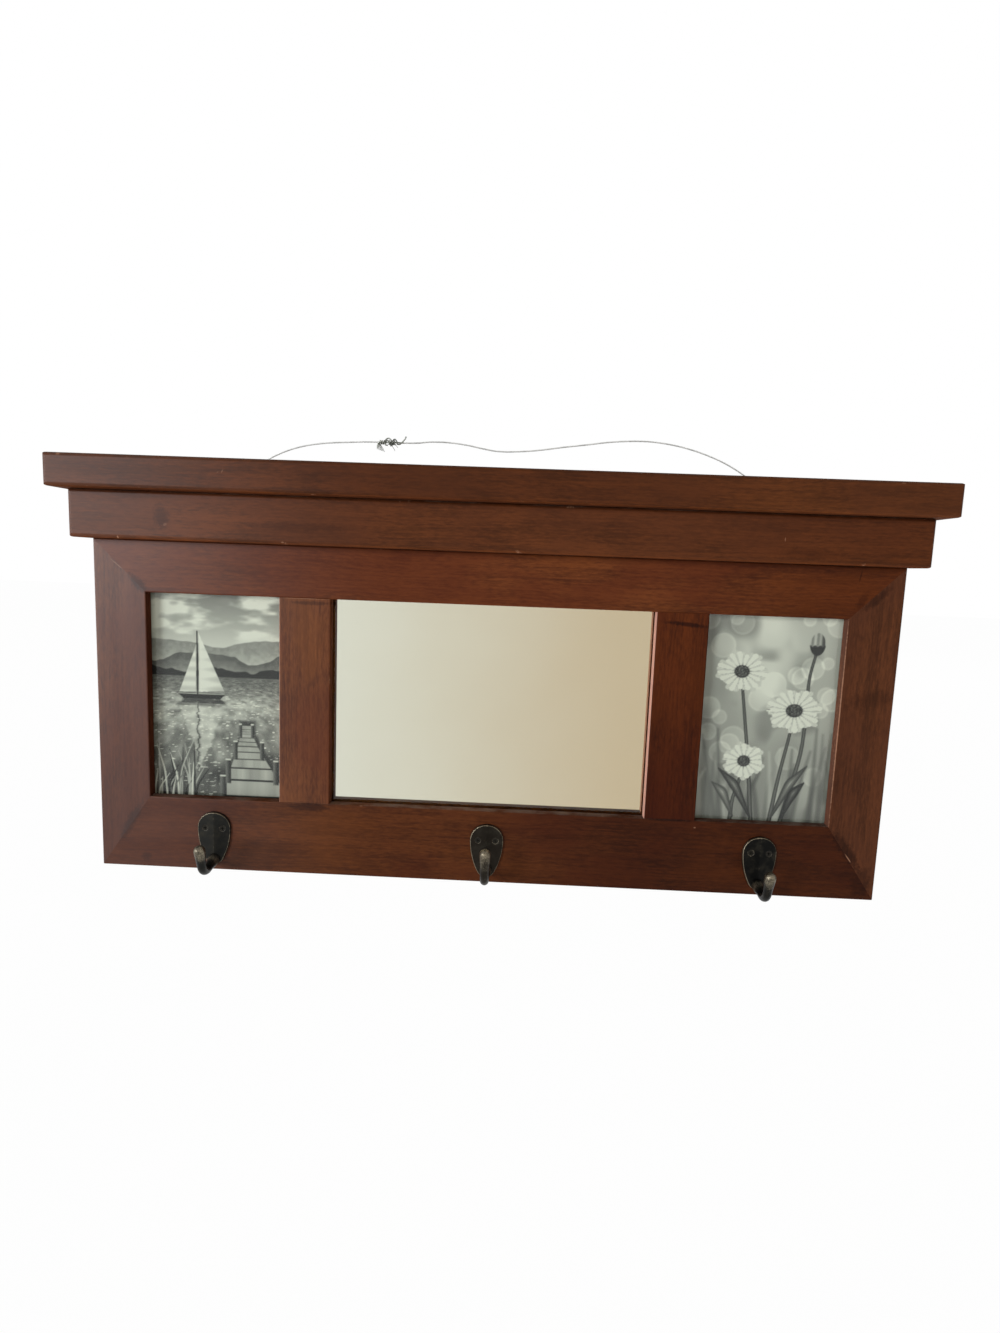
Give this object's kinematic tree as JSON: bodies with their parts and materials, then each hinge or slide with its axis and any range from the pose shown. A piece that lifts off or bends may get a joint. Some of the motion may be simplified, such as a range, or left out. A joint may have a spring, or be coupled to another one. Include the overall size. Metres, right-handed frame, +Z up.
{
  "type": "mirror with hooks",
  "caption": "Wide wooden wall mirror between two photo openings, with a stepped crown, cast coat hooks on the bottom rail and a hanging wire.",
  "frame": {"origin": "where the nail in the wall carries the hanging wire, at the middle of the width, in the plane of the frame's back face", "axes": "+X to the right as seen from the front, +Y from the front to the wall, +Z up"},
  "size_m": [0.588, 0.0502, 0.3104],
  "materials": {
    "frame_wood": "reddish brown stain under a satin varnish, with fine grain",
    "crown_wood": "brown stain under a satin varnish, worn at the edges",
    "mirror_glass": "silvered plain glass",
    "clear_glass": "plain picture glass",
    "print_paper": "grey-green monochrome photographic paper, satin",
    "brown_card": "raw corrugated card",
    "hardboard": "bare hardboard",
    "dark_bronze": "dark bronze plating, worn to pale brass at the tips and rims",
    "brass_plate": "thin bright brass plating on steel",
    "bright_steel": "zinc-plated steel",
    "wire_steel": "twisted light steel picture wire",
    "foam_rubber": "soft black foam rubber"
  },
  "bodies": {
    "frame": {"cap_board": "crown_wood", "fascia_board": "crown_wood", "top_rail": "frame_wood", "bottom_rail": "frame_wood", "left_stile": "frame_wood", "right_stile": "frame_wood", "left_mullion": "frame_wood", "right_mullion": "frame_wood", "corner_nails": "bright_steel", "mirror_glass": "mirror_glass", "mirror_pad": "brown_card", "mirror_back": "hardboard", "glazing_points": "bright_steel", "left_photo_glass": "clear_glass", "right_photo_glass": "clear_glass", "left_photo_print": "print_paper", "right_photo_print": "print_paper", "left_photo_filler": "brown_card", "right_photo_filler": "brown_card", "left_photo_back": "hardboard", "right_photo_back": "hardboard", "button_screws": "bright_steel", "left_coat_hook": "dark_bronze", "center_coat_hook": "dark_bronze", "right_coat_hook": "dark_bronze", "hook_screws": "dark_bronze", "left_hanger_strap": "brass_plate", "right_hanger_strap": "brass_plate", "hanger_screws": "brass_plate", "wall_pads": "foam_rubber"},
    "left_upper_button": {"left_upper_button": "brass_plate"},
    "left_lower_button": {"left_lower_button": "brass_plate"},
    "right_upper_button": {"right_upper_button": "brass_plate"},
    "right_lower_button": {"right_lower_button": "brass_plate"},
    "hanging_bail": {"left_ring": "bright_steel", "right_ring": "bright_steel", "left_wire_tie": "wire_steel", "right_wire_tie": "wire_steel", "left_hanging_wire": "wire_steel", "right_hanging_wire": "wire_steel", "wire_knot": "wire_steel"}
  },
  "joints": [
    {"name": "bail_swing", "type": "hinge", "parent": "frame", "child": "hanging_bail", "pos_m": [0, 0.00255, -0.0995], "axis": [-1, 0, 0], "range_deg": [0, 165]},
    {"name": "left_upper_button_turn", "type": "hinge", "parent": "frame", "child": "left_upper_button", "pos_m": [-0.192, 0.0005, -0.0925], "axis": [0, 1, 0], "continuous": true},
    {"name": "left_lower_button_turn", "type": "hinge", "parent": "frame", "child": "left_lower_button", "pos_m": [-0.192, 0.0005, -0.2585], "axis": [0, 1, 0], "continuous": true},
    {"name": "right_upper_button_turn", "type": "hinge", "parent": "frame", "child": "right_upper_button", "pos_m": [0.192, 0.0005, -0.0925], "axis": [0, 1, 0], "continuous": true},
    {"name": "right_lower_button_turn", "type": "hinge", "parent": "frame", "child": "right_lower_button", "pos_m": [0.192, 0.0005, -0.2585], "axis": [0, 1, 0], "continuous": true}
  ]
}
